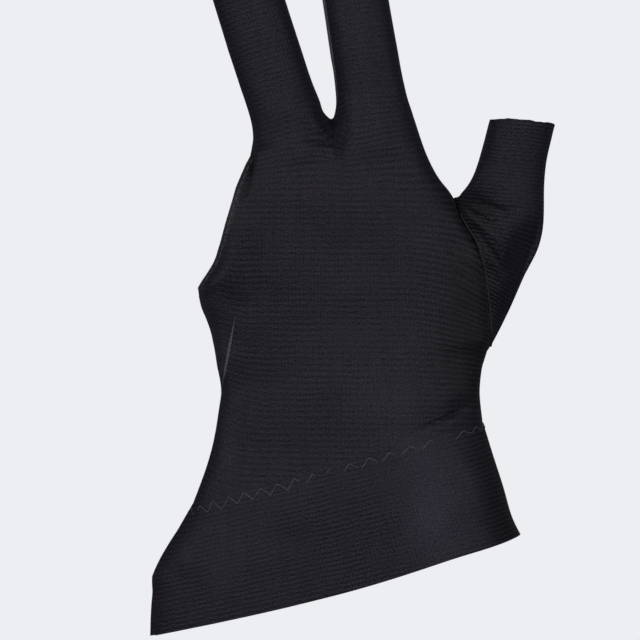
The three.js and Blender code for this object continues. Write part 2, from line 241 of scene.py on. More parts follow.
class Graph:
    """The nodes of one material."""

    def __init__(self, name: str) -> None:
        """Makes the material with a fresh Principled shader."""
        self.material = bpy.data.materials.new(name)
        self.material.use_nodes = True
        self.tree = self.material.node_tree
        self.tree.nodes.clear()
        output = self.tree.nodes.new("ShaderNodeOutputMaterial")
        self.shader = self.tree.nodes.new("ShaderNodeBsdfPrincipled")
        self.tree.links.new(self.shader.outputs[0], output.inputs["Surface"])

    def add(self, kind: str, settings: dict, inputs: dict, output: object = 0) -> Wrap:
        """Adds a node.

        Args:
            kind: Node type.
            settings: Attributes, set first.
            inputs: Values or wrapped sockets by input name or number.
            output: Name or number of the output wanted.

        Returns:
            That output, wrapped.
        """
        node = self.tree.nodes.new(kind)
        for name, value in settings.items():
            setattr(node, name, value)
        for name, value in inputs.items():
            self.plug(node.inputs[name], value)
        return Wrap(self, node.outputs[output])

    def plug(self, socket: bpy.types.NodeSocket, value: object) -> None:
        """Links a wrapped socket or sets a constant."""
        if isinstance(value, Wrap):
            self.tree.links.new(value.socket, socket)
        else:
            socket.default_value = value

    def dress(self, **sockets: object) -> None:
        """Fills the Principled shader's sockets, with _ for a blank in their names."""
        for name, value in sockets.items():
            self.plug(self.shader.inputs[name.replace("_", " ")], value)

    def mix(self, share: Wrap, low: tuple, high: tuple) -> Wrap:
        """Colour between two colours, and past them where the share leaves 0 to 1."""
        inputs = {"Factor": share, 6: (*low, 1), 7: (*high, 1)}
        return self.add("ShaderNodeMix", {"data_type": "RGBA", "clamp_factor": False}, inputs, 2)

    def noise(self, vector: Wrap, scale: float, detail: float = 3.0) -> Wrap:
        """Noise from 0 to 1 over a coordinate."""
        return self.add("ShaderNodeTexNoise", {}, {"Vector": vector, "Scale": scale, "Detail": detail})

    def drawn_noise(self, across: Wrap, up: Wrap, scale: Pair, detail: int) -> Wrap:
        """Noise round 0 with its own scale across and up the cloth."""
        place = self.add("ShaderNodeCombineXYZ", {}, {0: across * scale[0], 1: up * scale[1]})
        return self.noise(place, 1.0, detail) - 0.5


@dataclass(frozen=True)
class KnitFinish:
    """Matt black stretch knit: crosswise ribs broken by lengthwise wales, under uneven loops and fine grain.

    Rib and wale are pitches in millimetres, and relief is the bump's height in metres. Level is the plain
    cloth's shade between dark at 0 and light at 1. Wander and drift bend the rows; drift also makes the ribs
    uneven. Each vertex's amount of stretch and painted light flattens them above 0 and deepens them below,
    and adds painted highlights and painted shade to the colour. The last two weigh the ribs, wales, loops,
    grain and streaks.
    """

    name: str
    dark: Triple = (0.0030, 0.0024, 0.0052)
    light: Triple = (0.0252, 0.0207, 0.0368)
    rib: float = 1.85
    wale: float = 1.26
    contrast: float = 1.0
    relief: float = 0.00011
    roughness: float = 0.55
    polish: float = -0.1
    specular: float = 0.26
    sheen: float = 0.04
    sheen_roughness: float = 0.45
    level: float = 0.54
    row_wander: float = 0.24
    row_drift: float = 0.7
    column_wander: float = 0.2
    calm: Pair = (0.33, 0.6)
    least_depth: float = 0.45
    uneven_depth: float = 0.7
    flattening: float = 2.5
    flattest: float = 0.15
    breaking: float = 1.3
    drift_scale: float = 0.085
    wander_scale: float = 0.3
    grain_scale: float = 1.7
    loop_scale: Pair = (0.8, 1.7)
    streak_scale: Pair = (0.3, 0.03)
    in_height: tuple[float, ...] = (0.35, 0.3, 1.9, 1.4)
    in_shade: tuple[float, ...] = (0.46, 0.16, 1.3, 2.1, 0.3)

    def material(self) -> Material:
        """Builds the material on the piece's own UV map, whose units are millimetres of cloth."""
        g = Graph(self.name)
        cloth = g.add("ShaderNodeUVMap", {"uv_map": "cloth"}, {})
        split = g.tree.nodes.new("ShaderNodeSeparateXYZ")
        g.plug(split.inputs[0], cloth)
        across, up = Wrap(g, split.outputs[0]), Wrap(g, split.outputs[1])
        # Each vertex's painted highlight, or painted shade below 0, partly standing for stretched or bunched
        # knit.
        stretch_and_painted_light = g.add("ShaderNodeAttribute", {"attribute_name": "stretch_and_painted_light"}, {}, "Fac")
        drift = g.noise(cloth, self.drift_scale, 2)
        wander = g.noise(cloth, self.wander_scale, 1)
        row = (up / self.rib + wander * self.row_wander + drift * self.row_drift) * (2 * math.pi)
        column = (across / self.wale + wander * self.column_wander) * (2 * math.pi)
        rib, wale = row.sine() * 0.5, column.sine() * 0.5
        unevenness = drift.between(*self.calm) * self.uneven_depth + self.least_depth
        depth = (1 - stretch_and_painted_light * self.flattening) * unevenness * self.contrast
        broken = rib * (wale * self.breaking + 1.0) * depth.maths("MAXIMUM", self.flattest)
        loop = g.drawn_noise(across, up, self.loop_scale, 2)
        grain = g.noise(cloth, self.grain_scale, 1) - 0.5
        streak = g.drawn_noise(across, up, self.streak_scale, 1)
        layers = (broken, wale, loop, grain, streak)
        height = sum(layer * weight for layer, weight in zip(layers, self.in_height))
        pattern = sum(layer * weight for layer, weight in zip(layers, self.in_shade))
        # The vertex amounts add painted highlights and painted shade to the knit's colour.
        shade = (pattern + stretch_and_painted_light + self.level).maths("MAXIMUM", 0.0)
        bump = g.add("ShaderNodeBump", {}, {"Strength": 1.0, "Distance": self.relief, "Height": height})
        g.dress(
            Base_Color=g.mix(shade, self.dark, self.light),
            Roughness=shade * self.polish + self.roughness,
            Normal=bump,
            Specular_IOR_Level=self.specular,
            Sheen_Weight=self.sheen,
            Sheen_Roughness=self.sheen_roughness,
        )
        return g.material


@dataclass(frozen=True)
class ThreadFinish:
    """Twisted sewing thread, a little shinier than the knit; in pale colours it also paints the highlights
    along the seam ridges and the taut fold.
    """

    name: str
    dark: Triple
    light: Triple
    twist_scale: float = 2600.0
    twist: Pair = (0.3, 0.7)
    relief: float = 0.00005
    relief_share: float = 0.6
    roughness: float = 0.6
    specular: float = 0.2

    def material(self) -> Material:
        """Builds the material, with the twist as a fine unevenness."""
        g = Graph(self.name)
        place = g.add("ShaderNodeTexCoord", {}, {}, "Object")
        twist = g.noise(place, self.twist_scale, 2)
        relief = {"Strength": self.relief_share, "Distance": self.relief, "Height": twist}
        g.dress(
            Base_Color=g.mix(twist.between(*self.twist), self.dark, self.light),
            Roughness=self.roughness,
            Normal=g.add("ShaderNodeBump", {}, relief),
            Specular_IOR_Level=self.specular,
        )
        return g.material


class Weave(Enum):
    """Which way the courses of a piece run."""

    HAND = "hand"
    CUFF = "cuff"
    THUMB = "thumb"


@dataclass(frozen=True)
class Crease:
    """A form in the cloth on the back of the hand, along a line, in millimetres.

    Height is outwards, and below 0 sinks in. The last value, below 0, paints shade into the crease, and
    above 0 paints a highlight onto its crest.
    """

    start: Pair
    end: Pair
    height: float
    width: float
    # Painted shade in the crease below 0, painted highlight on its crest above 0.
    tone: float = 0.0

    def away(self, points: Array) -> Rows:
        """How far points lie from the line.

        Args:
            points: Places in millimetres.

        Returns:
            Distance from the line and share of the way along it.
        """
        start = np.array(self.start)
        run = np.array(self.end) - start
        flat = points[:, [0, 2]] - start
        share = np.clip(flat @ run / (run @ run), 0.0, 1.0)
        return np.linalg.norm(flat - share[:, None] * run, axis=1), share

    def presence(self, points: Array) -> Array:
        """Share from 0 to 1 of the form at each point, fading towards both ends of the line."""
        away, share = self.away(points)
        ends = smoothstep(END_GROWTH * (0.5 - np.abs(share - 0.5)) + END_SHARE)
        return np.exp(-((away / self.width) ** 2)) * ends * smoothstep(-points[:, 1] / CREASE_DEPTH)


@dataclass(frozen=True)
class Patch:
    """A soft spot of painted highlight, or of painted shade below 0, partly standing for knit stretched open
    or bunched.
    """

    middle: Pair
    size: Pair
    amount: float

    def amounts(self, points: Array) -> Array:
        """The painted highlight or painted shade at each point, partly the knit's stretch."""
        in_front = smoothstep(0.5 - points[:, 1] / PATCH_DEPTH)
        return self.amount * spot(points, self.middle, self.size) * in_front


# Spots of painted highlight and painted shade, partly standing for stretched or bunched knit.
STRETCH_AND_PAINTED_LIGHT_PATCHES = (
    Patch((14, -36), (9, 17), 0.70),
    Patch((-52, -50), (18, 14), 0.06),
    Patch((-52, -8), (6, 16), 0.24),
    Patch((-12, -45), (16, 12), -0.08),
    Patch((2, -3), (9, 7), 0.19),
    Patch((8, -16), (8, 7), 0.22),
    Patch((-19, -4), (7, 8), -0.13),
    Patch((-7, 14), (12, 10), 0.04),
    Patch((22, 16), (8, 14), -0.28),
    Patch((29, 57), (5, 6), -0.34),
    Patch((40, 80), (9, 12), -0.10),
    Patch((-52, 18), (5, 10), 0.14),
    Patch((28, 38), (9, 24), -0.30),
    Patch((27, 3), (8, 9), -0.10),
    Patch((-46, 46), (11, 26), -0.08),
    Patch((37, 34), (8, 12), -0.06),
    Patch((49, 49), (4, 9), -0.07),
    Patch((38, -30), (6, 24), -0.40),
    Patch((-19, 85), (4.5, 5), -0.12),
    Patch((-12, 118), (34, 28), 0.07),
    Patch((28, 60), (8, 6), -0.3),
    Patch((-10, 72), (36, 9), -0.05),
    Patch((-59, 27), (3, 6), 0.5),
    Patch((-55.8, 13), (2.8, 9), 0.8),
)


# Millimetres up, and how far the worn cloth reaches past the solids' left and right sides there.
BULGES = (
    (-63, 0.0, 0.0), (-58, 1.3, 0.0), (-52, 1.0, 0.0), (-43, 0.1, 0.1),
    (-19, 0.5, 0.7), (-10, 0.4, 1.0), (0, 0.4, 0.7), (9, 1.2, 0.7),
    (17, 0.9, 1.6), (25, 0.1, 0.9), (38, 0.1, 0.7), (46, 1.3, 1.5),
    (66, 1.3, 0.9), (75, 0.4, 0.8), (76.6, 1.5, 0.8), (79.5, 0.6, 0.8),
    (82, 0.4, 0.7), (89, 0.7, 0.0), (98, 1.3, 0.8), (110, 1.7, 1.0),
    (143, 1.6, 0.8),
)
BULGE_REACH = 8.0


@dataclass(frozen=True)
class Nudge:
    """A place where the worn cloth sits a little beside the solids; all lengths are millimetres."""

    middle: Pair
    size: Pair
    across: float
    up: float


NUDGES = (
    Nudge((-19.8, 89.4), (2.4, 3.2), -1.2, 0),
    Nudge((-19, 87.2), (2.2, 2.6), 0, -0.6),
    Nudge((25.5, 58.5), (6, 8), -2.2, -1.1),
    Nudge((44, 88), (14, 6), 0, 0.7),
    Nudge((26, -51), (24, 9), 0, 0.8),
    Nudge((-22, 108), (3, 9), -0.4, 0),
)


def side_lines(step: float = 2.0) -> tuple[Array, Array, Array]:
    """Left and right outline of all the solids together.

    Args:
        step: Millimetres between heights.

    Returns:
        Heights, and both sides' places across, in millimetres.
    """
    heights = np.arange(CAD_BOX[0].z / MM + step / 4, CAD_BOX[1].z / MM, step)
    left, right = np.full(len(heights), np.inf), np.full(len(heights), -np.inf)
    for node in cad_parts.values():
        mesh = node.data
        ends = np.empty(len(mesh.edges) * 2, dtype=np.int64)
        mesh.edges.foreach_get("vertices", ends)
        low, high = coordinates(mesh)[ends[0::2]], coordinates(mesh)[ends[1::2]]
        for i, up in enumerate(heights):
            crossing = (low[:, 2] - up) * (high[:, 2] - up) < 0
            share = (up - low[crossing, 2]) / (high[crossing, 2] - low[crossing, 2])
            across = low[crossing, 0] + share * (high[crossing, 0] - low[crossing, 0])
            left[i] = min(left[i], across.min(initial=np.inf))
            right[i] = max(right[i], across.max(initial=-np.inf))
    return heights, left, right


SIDE_LINES = side_lines()


def let_out(points: Array) -> Array:
    """Moves places to where the worn cloth reaches.

    Args:
        points: Places in millimetres.

    Returns:
        The moved places.
    """
    heights, left, right = SIDE_LINES
    ups, lefts, rights = zip(*BULGES)
    x, z = points[:, 0], points[:, 2]
    to_left = smoothstep(1 - (x - np.interp(z, heights, left)) / BULGE_REACH)
    to_right = smoothstep(1 - (np.interp(z, heights, right) - x) / BULGE_REACH)
    moved = points.copy()
    moved[:, 0] += to_right * np.interp(z, ups, rights) - to_left * np.interp(z, ups, lefts)
    for nudge in NUDGES:
        share = spot(points, nudge.middle, nudge.size)
        moved[:, 0] += share * nudge.across
        moved[:, 2] += share * nudge.up
    return moved


# Broad forms, which move the cloth in depth.
FOLDS = (
    Crease((24, 60), (31.5, 18), -2.2, 8),
    Crease((50, 58), (36, 18), -2.6, 7),
    Crease((36, 72), (30, 62), -1, 6),
    Crease((26, -14), (33, -62), 2.4, 8.5),
    Crease((18, -4), (34, -8), -1, 5),
    Crease((-21, 87), (-22, 79), -0.9, 6),
    Crease((-31, 96), (-26, 72), 0.9, 7),
    Crease((-7, 96), (-6, 74), 0.7, 7),
    Crease((-46, 33), (-49, 12), -0.8, 4),
    Crease((-58, -44), (-30, -40), -0.7, 6),
    Crease((-66, -58), (-58, -36), 0.8, 5),
)

# Faint pulls towards the thumb's root, by their ends.
PULLS = (
    ((17, 51), (27, 44.5)),
    ((17.5, 46.5), (29, 38.5)),
    ((19, 41), (30, 33.5)),
    ((20, 36), (30.5, 28.5)),
    ((21, 30.5), (31, 23.5)),
    ((22, 25), (31, 18.5)),
)

# Narrow creases and ridges, which move only the cloth's outer face; their last value, where given, paints
# shade into a crease or a highlight onto a ridge.
PLEATS = (
    Crease((9, -11), (25, -3.8), -0.4, 0.6, -0.28),
    Crease((18, -8.4), (29, -4.6), 0.3, 0.8, 0.08),
    Crease((-15.6, 87.4), (-13, 79.2), -0.12, 0.8, -0.55),
    Crease((-17.4, 84), (-17, 74), 0.2, 1.2, 0.06),
    Crease((25.5, 61), (37, 54), -0.6, 0.9, -0.20),
    Crease((27, 62.6), (39, 57.6), 0.4, 1.1),
    Crease((26, 57.2), (37, 48), 0.4, 0.9, 0.13),
    Crease((27.5, 54), (35.5, 42), -0.5, 0.9, -0.18),
    Crease((24.5, 62), (46, 60.5), -0.3, 1, -0.10),
    Crease((31, 49.5), (38, 38), -0.4, 0.9, -0.10),
    Crease((32.8, 41.5), (37, 33), -0.3, 0.9, -0.08),
    *(Crease(start, end, -0.15, 0.8, -0.08) for start, end in PULLS),
    Crease((-42.4, 79), (-43.4, 70), -0.4, 0.8, -0.34),
    Crease((-42.8, 74), (-45.2, 61), -0.4, 1, -0.40),
)


@dataclass
class KnitPiece:
    """One cut piece of the glove, refined from its solid."""

    node: str
    flat: Pair
    cut_area: float
    finish: KnitFinish
    weave: Weave = Weave.HAND
    narrow: bool = False
    levels: int = 2
    seam_push: float = 0.16 * MM
    slack_size: float = 17 * MM
    slack_depth: float = 0.9 * MM
    wave_size: float = 5 * MM
    wave_depth: float = 1.3 * MM
    wave_reach: float = 4.0
    wave_fade: float = 3.0
    obj: Object = field(init=False)

    def build(self) -> Object:
        """Makes the piece and hands it to the frame.

        Returns:
            The finished object.
        """
        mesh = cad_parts[self.node].data.copy()
        self.obj = new_object(f"{self.node}_knit", mesh)
        self.quads()
        self.close_seams()
        apply_modifier(self.obj, "SUBSURF", levels=self.levels, render_levels=self.levels)
        self.fit()
        self.refine()
        self.slacken()
        self.fray()
        self.fold()
        self.pleat()
        self.smooth()
        self.lay_courses()
        mesh = self.obj.data
        mesh.materials.clear()
        mesh.materials.append(self.finish.material())
        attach(self.obj, BODY)
        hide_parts(self.node)
        return self.obj

    def quads(self) -> None:
        """Merges the solid's loose triangles, pairs them and marks the cut edges."""
        open_mesh(self.obj)
        bpy.ops.mesh.select_all(action="SELECT")
        bpy.ops.mesh.remove_doubles(threshold=WELD)
        bpy.ops.mesh.tris_convert_to_quads(face_threshold=PAIR_ANGLE, shape_threshold=PAIR_SHAPE)
        bpy.ops.mesh.select_mode(type="EDGE")
        bpy.ops.mesh.select_all(action="DESELECT")
        bpy.ops.mesh.edges_select_sharp(sharpness=RIM_ANGLE)
        bpy.ops.mesh.mark_sharp()
        bpy.ops.transform.edge_crease(value=1.0)
        close_mesh()

    def close_seams(self) -> None:
        """Pushes the cut rims outwards, so that sewn pieces meet."""
        if self.narrow:
            return
        mesh = self.obj.data
        rim = {v for edge in mesh.edges if edge.use_edge_sharp for v in edge.vertices}
        for polygon in mesh.polygons:
            polygon.select = all(v in rim for v in polygon.vertices)
        open_mesh(self.obj)
        bpy.ops.mesh.select_mode(type="FACE")
        bpy.ops.transform.shrink_fatten(value=self.seam_push)
        close_mesh()

    def fit(self) -> None:
        """Moves the cloth to where it reaches when worn."""
        points = let_out(coordinates(self.obj.data))
        self.obj.data.vertices.foreach_set("co", (points * MM).ravel())
        self.obj.data.update()

    def ripple(self, name: str, size: float, detail: int, **settings: object) -> None:
        """Moves the cloth by soft noise.

        Args:
            name: The noise's name.
            size: Its size in metres.
            detail: Its depth.
            **settings: Further values for the Displace modifier.
        """
        noise = bpy.data.textures.new(name, type="CLOUDS")
        noise.noise_scale = size
        noise.noise_depth = detail
        settings |= {"texture": noise, "texture_coords": "GLOBAL", "mid_level": 0.5}
        apply_modifier(self.obj, "DISPLACE", **settings)

    def slacken(self) -> None:
        """Makes the cloth slightly uneven, alike on both faces."""
        self.ripple("slack", self.slack_size, 1, direction="Y", strength=self.slack_depth)

    def fray(self) -> None:
        """Leaves the open end of the thumb sleeve a little wavy."""
        if self.weave is Weave.THUMB:
            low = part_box(self.node)[1].z / MM - self.wave_reach
            heights = coordinates(self.obj.data)[:, 2]
            self.weigh("ends", smoothstep((heights - low) / self.wave_fade))
            settings = {"direction": "Z", "strength": self.wave_depth, "vertex_group": "ends"}
            self.ripple("wavy_cut", self.wave_size, 2, **settings)

    def refine(self) -> None:
        """Divides the faces under narrow creases once more."""
        mesh = self.obj.data
        centres = vectors(mesh.polygons, "center") / MM
        near = np.zeros(len(centres), dtype=bool)
        for pleat in PLEATS:
            near |= pleat.away(centres)[0] < DIVIDED_WIDTHS * pleat.width
        near &= centres[:, 1] < DIVIDED_DEPTH
        if not near.any():
            return
        open_mesh(self.obj)
        bpy.ops.mesh.select_mode(type="FACE")
        close_mesh()
        mesh.polygons.foreach_set("select", near)
        open_mesh(self.obj)
        bpy.ops.mesh.subdivide(number_cuts=1)
        close_mesh()

    def fold(self) -> None:
        """Raises and sinks the broad folds, on both faces."""
        points = coordinates(self.obj.data)
        self.push("fold", sum(fold.height * fold.presence(points) for fold in FOLDS), "Y", -1)

    def pleat(self) -> None:
        """Raises and sinks the narrow creases, on the outer face."""
        mesh = self.obj.data
        points = coordinates(mesh)
        normals = vectors(mesh.vertices, "normal")
        middle = THUMB_MIDDLE if self.weave is Weave.THUMB else HAND_MIDDLE
        outward = normals[:, 0] * (points[:, 0] - middle) + normals[:, 1] * points[:, 1]
        lift = sum(pleat.height * pleat.presence(points) for pleat in PLEATS) * (outward > 0)
        self.push("pleat", lift, "NORMAL", 1)

    def push(self, name: str, lift: Array, direction: str, sign: float) -> None:
        """Moves vertices along one direction.

        Args:
            name: Name for the vertex groups.
            lift: Millimetres for each vertex.
            direction: The Displace modifier's direction.
            sign: 1 where its positive side is outwards, or -1.
        """
        for side in (1, -1):
            amount = np.clip(lift * side, 0, None)
            most = amount.max(initial=0.0)
            if most < LEAST_LIFT:
                continue
            group = f"{name}_{'raised' if side > 0 else 'sunk'}"
            self.weigh(group, amount / most)
            settings = {"strength": side * sign * most * MM, "direction": direction, "mid_level": 0.0}
            apply_modifier(self.obj, "DISPLACE", vertex_group=group, **settings)

    def weigh(self, name: str, amounts: Array) -> None:
        """Keeps a weight for each vertex in a vertex group.

        Args:
            name: The group's name.
            amounts: A weight from 0 to 1 for each vertex.
        """
        group = self.obj.vertex_groups.new(name=name)
        for index in np.flatnonzero(amounts > LEAST_WEIGHT):
            group.add([int(index)], float(amounts[index]), "REPLACE")

    def smooth(self) -> None:
        """Shades the cloth smoothly."""
        activate(self.obj)
        bpy.ops.object.shade_smooth()

    def lay_courses(self) -> None:
        """Lays the knit's coordinates over the piece, in millimetres of cloth, and each vertex's painted
        highlight or painted shade.
        """
        mesh = self.obj.data
        while mesh.uv_layers:
            mesh.uv_layers.remove(mesh.uv_layers[0])
        layer = mesh.uv_layers.new(name="cloth")
        points = coordinates(mesh)
        across, up = COURSES[self.weave](points)
        corners = np.empty(len(mesh.loops), dtype=np.int64)
        mesh.loops.foreach_get("vertex_index", corners)
        layer.data.foreach_set("uv", np.column_stack([across[corners], up[corners]]).ravel())
        # Painted shade in the creases, painted highlights on the ridges, and the painted highlight and shade
        # spots.
        stretch_and_painted_light = mesh.attributes.new("stretch_and_painted_light", "FLOAT", "POINT")
        tone = sum(crease.presence(points) * crease.tone for crease in PLEATS)
        stretch_and_painted_light.data.foreach_set("value", tone + sum(patch.amounts(points) for patch in STRETCH_AND_PAINTED_LIGHT_PATCHES))

    def declare(self, others: Pieces = ()) -> None:
        """Does nothing with the piece, and only lists the separate pieces that go with it.

        Args:
            others: Separate pieces that go with it.
        """
        list(others)


def wrapped(points: Array, middle: object, depth: object, width: float = 12.0) -> Array:
    """Distance across the cloth that rounding its sides adds.

    Args:
        points: Places in millimetres.
        middle: The piece's middle across, for all or each point.
        depth: Half the piece's thickness, for all or each point.
        width: Distance from the middle over which the rounding sets in.

    Returns:
        Millimetres to add across.
    """
    return np.tanh((points[:, 0] - middle) / width) * (depth - np.abs(points[:, 1]))


@dataclass(frozen=True)
class HandCourses:
    """Knit coordinates on the hand part and its finger sleeves; lengths are millimetres.

    They sag to the left edge, rise to the thumb, follow each finger and fan out round the crotch.
    """

    edge: float = -52.5
    edge_lean: float = 0.24
    sag_from: float = 16.0
    sag: float = 0.017
    sag_top: float = 70.0
    sag_fade: float = 30.0
    rise_from: float = 4.0
    rise: float = 0.010
    rise_up: float = 32.0
    rise_height: float = 22.0
    finger_stretch: float = 1.15
    finger_low: float = 62.0
    finger_fade: float = 24.0
    split: Pair = (14.0, 0.4)
    half_widths: Pair = (-12.0, 13.0)
    half_depths: Pair = (15.0, 9.2)
    fan_share: float = 0.85
    fan_reach: float = 9.0
    fan_hole: float = 1.0
    fan_fade: float = 5.0
    fan_turn: float = 6.0

    def on_hand(self, x: Array, z: Array) -> Array:
        """Millimetres of cloth up on the hand part."""
        edge = self.edge - self.edge_lean * np.abs(z)
        sag = np.maximum(0, edge + self.sag_from - x) ** 2 * self.sag
        rise = np.maximum(0, x - self.rise_from) ** 2 * self.rise
        sagged = z - sag * smoothstep((self.sag_top - z) / self.sag_fade)
        return sagged + rise * np.exp(-(((z - self.rise_up) / self.rise_height) ** 2))

    def on_finger(self, x: Array, z: Array, base: tuple, tilt: float) -> Array:
        """Millimetres of cloth across and up on one finger's sleeve, as two rows."""
        right_by, up_by = x - base[0], z - base[1]
        across = right_by * math.cos(tilt) + up_by * math.sin(tilt) + base[0]
        up = (up_by * math.cos(tilt) - right_by * math.sin(tilt)) * self.finger_stretch + base[1]
        return np.stack([across, up])

    def fan(self, x: Array, z: Array) -> Rows:
        """Millimetres up of the courses round the crotch, and their share there."""
        top = CROTCH[1] + self.fan_hole
        right_by, down_by = np.abs(x - CROTCH[0]) + 0.01, top - z
        away = np.hypot(right_by, down_by)
        reach = self.fan_share * np.exp(-((away / self.fan_reach) ** 2))
        share = reach * smoothstep((away - self.fan_hole) / self.fan_fade)
        return top - self.fan_turn * np.arctan2(down_by, right_by), share

    def lay(self, points: Array) -> Rows:
        """Blends the courses of the hand, the fingers and the crotch.

        Args:
            points: Places in millimetres.

        Returns:
            Millimetres of cloth across and up for each point.
        """
        x, z = points[:, 0], points[:, 2]
        apart = z > CROTCH[1]
        gap = CROTCH[0] - GAP_LEAN * np.maximum(z - CROTCH[1], 0)
        index = smoothstep((x - gap) / np.where(apart, self.split[1], self.split[0]) + 0.5)
        fingers = self.on_finger(x, z, MIDDLE_BASE, MIDDLE_TILT) * (1 - index)
        fingers += self.on_finger(x, z, INDEX_BASE, INDEX_TILT) * index
        finger = smoothstep((z - self.finger_low) / self.finger_fade)
        across, up = np.stack([x, self.on_hand(x, z)]) * (1 - finger) + fingers * finger
        aside = np.where(x > gap, self.half_widths[1], self.half_widths[0])
        middle = np.where(apart, gap + aside, HAND_MIDDLE)
        depth = self.half_depths[0] * (1 - finger) + self.half_depths[1] * finger
        fan, share = self.fan(x, z)
        return across + wrapped(points, middle, depth), up * (1 - share) + fan * share


def cuff_courses(points: Array, lean: float = 0.24, half_depth: float = 22.0) -> Rows:
    """Knit coordinates on the cuff, whose courses rise to the thumb's side."""
    x, z = points[:, 0], points[:, 2]
    return x + lean * z + wrapped(points, CUFF_MIDDLE, half_depth), z - lean * x


def thumb_courses(points: Array, half_depth: float = 10.0, root_top: float = 62.0) -> Rows:
    """Knit coordinates on the thumb sleeve, whose courses lean and rise more steeply at its root.

    Args:
        points: Places in millimetres.
        half_depth: Half the sleeve's thickness in millimetres.
        root_top: Height at which the root ends, in millimetres.

    Returns:
        Millimetres of cloth across and up for each point.
    """
    x, z = points[:, 0], points[:, 2]
    root = smoothstep((root_top - z) / 40)
    up = z + 0.1 * (x - 40) + 0.5 * root * (x - 30)
    return x - 0.12 * z - 0.4 * root * z + wrapped(points, THUMB_MIDDLE, half_depth), up


COURSES = {Weave.HAND: HandCourses().lay, Weave.CUFF: cuff_courses, Weave.THUMB: thumb_courses}


def front_hit(objects: Pieces, across: float, up: float, side: float = -1.0) -> tuple | None:
    """Where a line along the depth first meets the cloth.

    Args:
        objects: Pieces to look at.
        across: Millimetres across.
        up: Millimetres up.
        side: -1 from the back of the hand, 1 from the palm.

    Returns:
        The place, the outward direction there and the piece, or None.
    """
    best = None
    origin = Vector((across * MM, side * RAY_START, up * MM))
    for obj in objects:
        hit, place, normal, _ = obj.ray_cast(origin, Vector((0, -side, 0)))
        if hit and (best is None or side * place.y > side * best[0].y):
            best = (place, normal, obj)
    return best


def first_across(
    objects: Pieces, up: float, search: Triple, side: float = -1.0, wanted: object = None
) -> float | None:
    """The first place across at which a line along the depth meets the cloth.

    Args:
        objects: Pieces to look at.
        up: Millimetres up.
        search: First and last place and the step, in millimetres.
        side: -1 from the back of the hand, 1 from the palm.
        wanted: The piece that has to be met first, if only one counts.

    Returns:
        Millimetres across, or None.
    """
    across, end, step = search
    while across < end:
        hit = front_hit(objects, across, up, side)
        if hit and wanted in (None, hit[2]):
            return across
        across += step
    return None


def soften(line: list[Vector], rounds: int = 3) -> list[Vector]:
    """Smooths a line of points, leaving its ends."""
    for _ in range(rounds):
        inner = [(a + b * 2 + c) / 4 for a, b, c in zip(line, line[1:], line[2:])]
        line = [line[0], *inner, line[-1]]
    return line


@dataclass(frozen=True)
class Cord:
    """A round thread or folded edge, as a piece of its own; its radius is metres."""

    name: str
    slot: str
    radius: float
    finish: ThreadFinish
    sides: int = 1
    taper: float = 0.0
    tip: float = 0.15

    def build(self, lines: list[list[Vector]]) -> Object:
        """Runs the cord along lines, thinner near their ends where it has a taper.

        Args:
            lines: Lines of points.

        Returns:
            The piece.
        """
        curve = bpy.data.curves.new(self.name, "CURVE")
        curve.dimensions = "3D"
        curve.bevel_depth = self.radius
        curve.bevel_resolution = self.sides
        curve.use_fill_caps = True
        for line in lines:
            spline = curve.splines.new("POLY")
            spline.points.add(len(line) - 1)
            for i, (point, place) in enumerate(zip(spline.points, line)):
                point.co = (*place, 1)
                end = min(i, len(line) - 1 - i) / (len(line) - 1)
                point.radius = min(1.0, self.tip + end / self.taper) if self.taper else 1.0
        activate(new_object(self.name, curve))
        bpy.ops.object.convert(target="MESH")
        obj = bpy.context.view_layer.objects.active
        bpy.ops.object.shade_smooth()
        obj.data.materials.append(self.finish.material())
        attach(obj, BODY)
        return obj

    def laid(self, hit: tuple, stand: float) -> Vector:
        """Place of the cord's middle, a number of radii over the cloth that was met."""
        return hit[0] + hit[1] * self.radius * stand


ZIGZAG_THREAD = ThreadFinish("zigzag_thread", (0.055, 0.052, 0.058), (0.15, 0.145, 0.155))
# Paler than the knit: a painted highlight along the thumb seam's ridge.
SEAM_EDGE_HIGHLIGHT = ThreadFinish("seam_edge_painted_highlight", (0.016, 0.015, 0.019), (0.045, 0.042, 0.05))
# Much paler than the knit: a painted highlight on the taut fold's crest.
TAUT_FOLD_HIGHLIGHT = ThreadFinish("taut_fold_painted_highlight", (0.07, 0.067, 0.075), (0.19, 0.185, 0.195))
# Paler than the knit: a painted highlight along the index sleeve's pressed seam.
PRESSED_SEAM_HIGHLIGHT = ThreadFinish("pressed_seam_painted_highlight", (0.042, 0.040, 0.047), (0.12, 0.115, 0.125))
HEM_THREAD = ThreadFinish("hem_thread", (0.06, 0.058, 0.064), (0.17, 0.165, 0.175))


